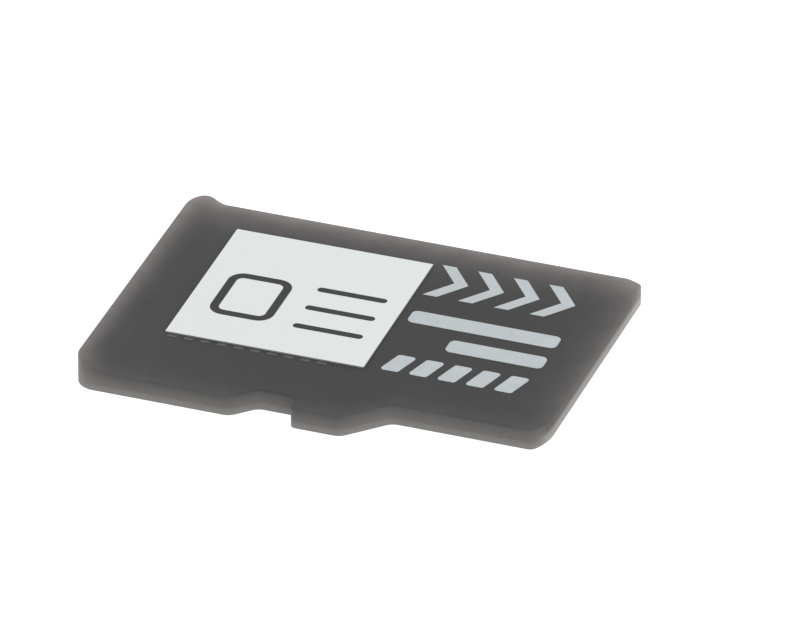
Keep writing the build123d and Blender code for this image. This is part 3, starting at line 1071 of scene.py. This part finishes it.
single = {"Count": 1, "Step": (0, 0, 0)}
bar = {**single, "Width": 0.72 * MM, "Corner": 0.2 * MM, "Lean": 0.0, "Thickness": ink_thickness}
print_piece(
    "label_bar_long", block_row, label_ink, "label_ink",
    Start=(3.78 * MM, 0.98 * MM, label_face), Length=4.9 * MM, **bar,
)
print_piece(
    "label_bar_short", block_row, label_ink, "label_ink",
    Start=(4.63 * MM, -0.32 * MM, label_face), Length=3.2 * MM, **bar,
)
print_piece(
    "label_blocks", block_row, label_ink, "label_ink",
    Count=5, Start=(1.95 * MM, -1.86 * MM, label_face), Step=(0.93 * MM, 0, 0),
    Length=0.6 * MM, Width=1.0 * MM, Corner=0.1 * MM, Lean=0.3 * MM, Thickness=ink_thickness,
)

# %% [markdown]
# ### Tick box
# The sticker has a box to tick. A box could be four bars, but their corners would have to be joined. A
# rounded block with a smaller one cut out of it has no joints: filling both curves together leaves the
# hole open.

# %% Build the tick box
tick_box, sockets, results = geometry_tree("tick box", {**row_inputs, "Corner": "Float", "Line": "Float"})
twice_line = calculate(tick_box, "MULTIPLY", sockets["Line"], 2.0)
outer = rounded_block(tick_box, sockets["Length"], sockets["Width"], sockets["Corner"])
inner = rounded_block(
    tick_box,
    calculate(tick_box, "SUBTRACT", sockets["Length"], twice_line),
    calculate(tick_box, "SUBTRACT", sockets["Width"], twice_line),
    calculate(tick_box, "SUBTRACT", sockets["Corner"], sockets["Line"]),
)
ring = add_node(
    tick_box, "GeometryNodeFillCurve", {"Curve": join(tick_box, outer, inner)}, mode="TRIANGLES"
).outputs[0]
finish_row(tick_box, sockets, results, ring)
print("tree", tick_box.name)

# %% [markdown]
# ### Marks on the sticker
# Beside the tick box are three ruled lines, ready to be written on. The sticker was stuck on a little
# askew, so its marks are turned with it. The angle could be written here too, but it is safer to read it
# from the sticker's own corners.

# %% Mark the sticker
corners = [vertex.co for vertex in nodes["paper_sticker"].data.vertices]
lowest = min(corners, key=lambda corner: corner.y)
rightmost = max(corners, key=lambda corner: corner.x)
sticker_turn = math.atan2(rightmost.y - lowest.y, rightmost.x - lowest.x)
sticker_length = math.hypot(rightmost.y - lowest.y, rightmost.x - lowest.x)
sticker_middle = (sticker_low + sticker_high) / 2
sticker_half_width = (sticker_high.y - sticker_low.y - sticker_length * math.sin(sticker_turn)) / 2
marking_thickness = 0.006 * MM
print_piece(
    "sticker_tick_box", tick_box, marking_ink, "marking_ink", turn=sticker_turn, about=sticker_middle,
    Start=(-3.7 * MM, 0.3 * MM, sticker_top), **single,
    Length=2.1 * MM, Width=2.6 * MM, Corner=0.5 * MM, Line=0.28 * MM, Thickness=marking_thickness,
)
print_piece(
    "sticker_ruled_lines", block_row, marking_ink, "marking_ink", turn=sticker_turn, about=sticker_middle,
    Count=3, Start=(-0.75 * MM, -0.85 * MM, sticker_top), Step=(0, 1.15 * MM, 0),
    Length=2.3 * MM, Width=0.26 * MM, Corner=0.13 * MM, Lean=0.0, Thickness=marking_thickness,
)
print("sticker turned by", round(math.degrees(sticker_turn), 2), "degrees")

# %% [markdown]
# ### Dashes beside the sticker
# The sticker covers most of the small print on the label face. Only a row of faint dashes looks out along
# its near edge. They could run on under the paper, but ink and paper would then share the same space, so
# they stop just short of it. They are blocks again, turned with the sticker.

# %% Print the dashes
dash_gap = 0.08 * MM
dash_width = 0.14 * MM
sticker_near_line = sticker_middle.y - sticker_half_width
print_piece(
    "label_dashes", block_row, worn_ink, "label_ink", turn=sticker_turn, about=sticker_middle,
    Count=10, Start=(-5.25 * MM, sticker_near_line - dash_gap - dash_width / 2, label_face),
    Step=(0.55 * MM, 0, 0), Length=0.33 * MM, Width=dash_width, Corner=0.06 * MM, Lean=0.0,
    Thickness=ink_thickness,
)
